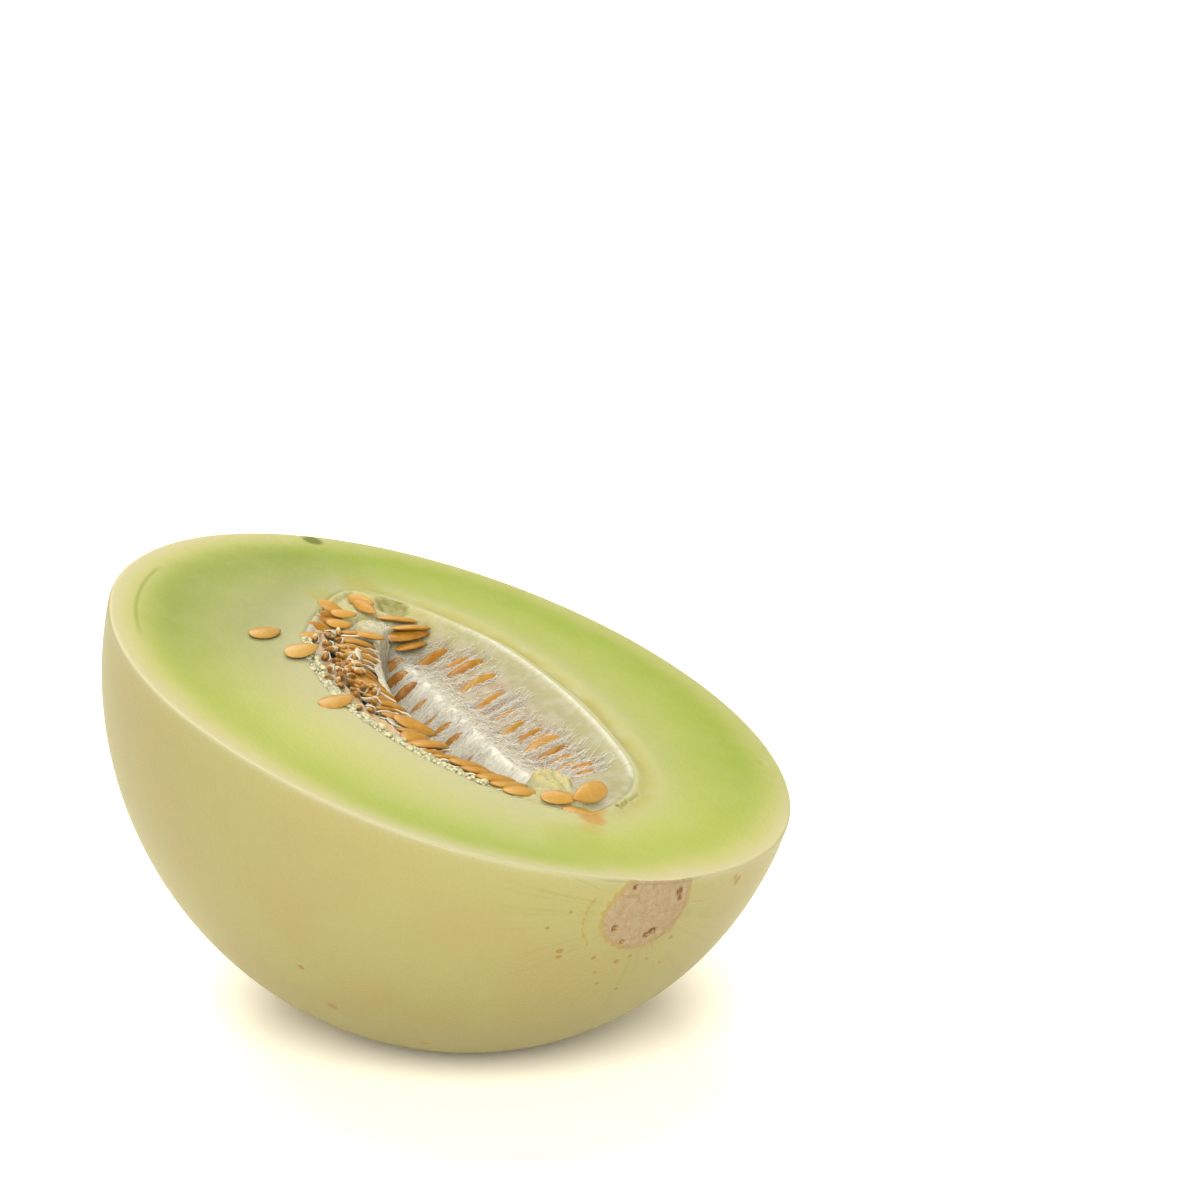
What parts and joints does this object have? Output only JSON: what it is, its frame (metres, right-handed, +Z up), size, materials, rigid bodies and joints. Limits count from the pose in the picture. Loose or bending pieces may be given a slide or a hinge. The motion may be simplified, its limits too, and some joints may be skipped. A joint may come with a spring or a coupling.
{
  "type": "halved honeydew melon",
  "caption": "Half a honeydew melon lying on its round side, tilted, with its cut face up, a seed cavity with pulp and a packed row of seeds, and a corky scar at one end.",
  "frame": {"origin": "middle of the small flat spot that the half rests on", "axes": "+Z up; +X level, under the cut's long axis, toward the scar end; +Y across the melon, toward the side where the cut is lower"},
  "size_m": [0.1686, 0.1503, 0.1012],
  "materials": {
    "rind_and_flesh": "smooth waxy rind outside, moist flesh on the cut",
    "seed_pulp": "soft, moist, fibrous",
    "packed_seeds": "satin, wet",
    "loose_seeds": "satin"
  },
  "bodies": {
    "root": {"rind_and_flesh": "rind_and_flesh", "seed_pulp": "seed_pulp", "near_seed_row": "packed_seeds", "loose_seed_1": "loose_seeds", "loose_seed_2": "loose_seeds", "loose_seed_3": "loose_seeds", "loose_seed_4": "loose_seeds", "loose_seed_5": "loose_seeds", "loose_seed_6": "loose_seeds"}
  },
  "joints": []
}
